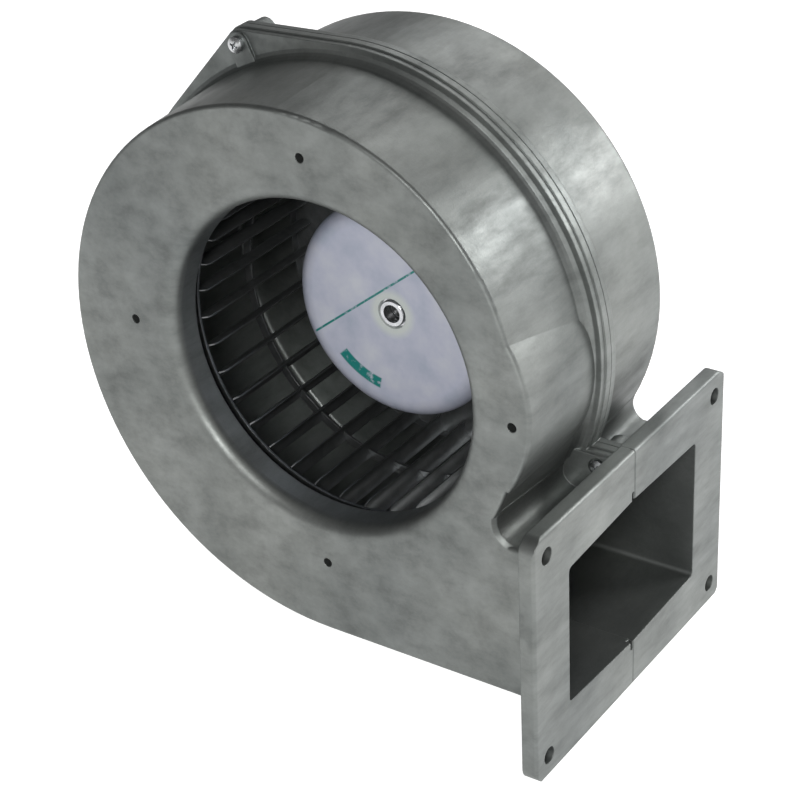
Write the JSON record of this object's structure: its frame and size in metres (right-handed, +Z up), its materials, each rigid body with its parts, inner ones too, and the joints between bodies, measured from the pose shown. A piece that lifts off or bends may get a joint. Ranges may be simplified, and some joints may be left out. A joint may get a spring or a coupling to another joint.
{
  "type": "dc blower fan",
  "caption": "Single-inlet centrifugal DC blower: two-part die-cast scroll housing, drum impeller with forward-curved blades, external-rotor motor",
  "frame": {"origin": "centre of the inlet, on the inlet face of the housing", "axes": "+X is the way the air leaves through the outlet flange, +Y runs along the rotor axis from the inlet face into the housing, +Z is up"},
  "size_m": [0.2153, 0.1386, 0.2324],
  "materials": {
    "cast_aluminium": "satin",
    "machined_aluminium": "satin",
    "galvanised_sheet": "satin",
    "rotor_sheet": "satin",
    "screw_steel": "gloss",
    "bright_steel": "gloss",
    "dark_steel": "satin",
    "magnet": "matte",
    "lamination": "satin",
    "copper_wire": "gloss",
    "insulator_plastic": "matte",
    "board_laminate": "satin",
    "component_plastic": "matte",
    "black_rubber": "matte"
  },
  "bodies": {
    "housing": {"inlet_housing": "cast_aluminium", "motor_housing": "cast_aluminium", "housing_screws": "screw_steel", "front_bearing_outer": "bright_steel", "rear_bearing_outer": "bright_steel", "preload_spring": "bright_steel", "motor_flange": "machined_aluminium", "motor_gasket": "black_rubber", "motor_screws": "screw_steel", "stator_core": "lamination", "front_insulator": "insulator_plastic", "rear_insulator": "insulator_plastic", "stator_coils": "copper_wire", "circuit_board": "board_laminate", "board_components": "component_plastic", "board_screws": "screw_steel", "bearing_cap": "bright_steel", "lead_grommet": "black_rubber"},
    "rotor": {"impeller_blades": "galvanised_sheet", "impeller_front_ring": "galvanised_sheet", "impeller_support_ring": "galvanised_sheet", "impeller_back_disc": "galvanised_sheet", "impeller_rivets": "screw_steel", "rotor_cup": "rotor_sheet", "rotor_hub": "bright_steel", "rotor_magnets": "magnet", "shaft": "bright_steel", "retaining_ring": "dark_steel", "front_bearing_inner": "bright_steel", "rear_bearing_inner": "bright_steel"},
    "front_ball_set": {"front_bearing_balls": "bright_steel"},
    "rear_ball_set": {"rear_bearing_balls": "bright_steel"}
  },
  "joints": [
    {"name": "rotor_spin", "type": "hinge", "parent": "housing", "child": "rotor", "pos_m": [0, 0.07, 0], "axis": [0, -1, 0], "continuous": true},
    {"name": "front_balls_roll", "type": "hinge", "parent": "housing", "child": "front_ball_set", "pos_m": [0, 0.059, 0], "axis": [0, -1, 0], "continuous": true},
    {"name": "rear_balls_roll", "type": "hinge", "parent": "housing", "child": "rear_ball_set", "pos_m": [0, 0.087, 0], "axis": [0, -1, 0], "continuous": true}
  ],
  "couplings": [
    {"joint": "front_balls_roll", "follows": "rotor_spin", "ratio": 0.35},
    {"joint": "rear_balls_roll", "follows": "rotor_spin", "ratio": 0.35}
  ]
}
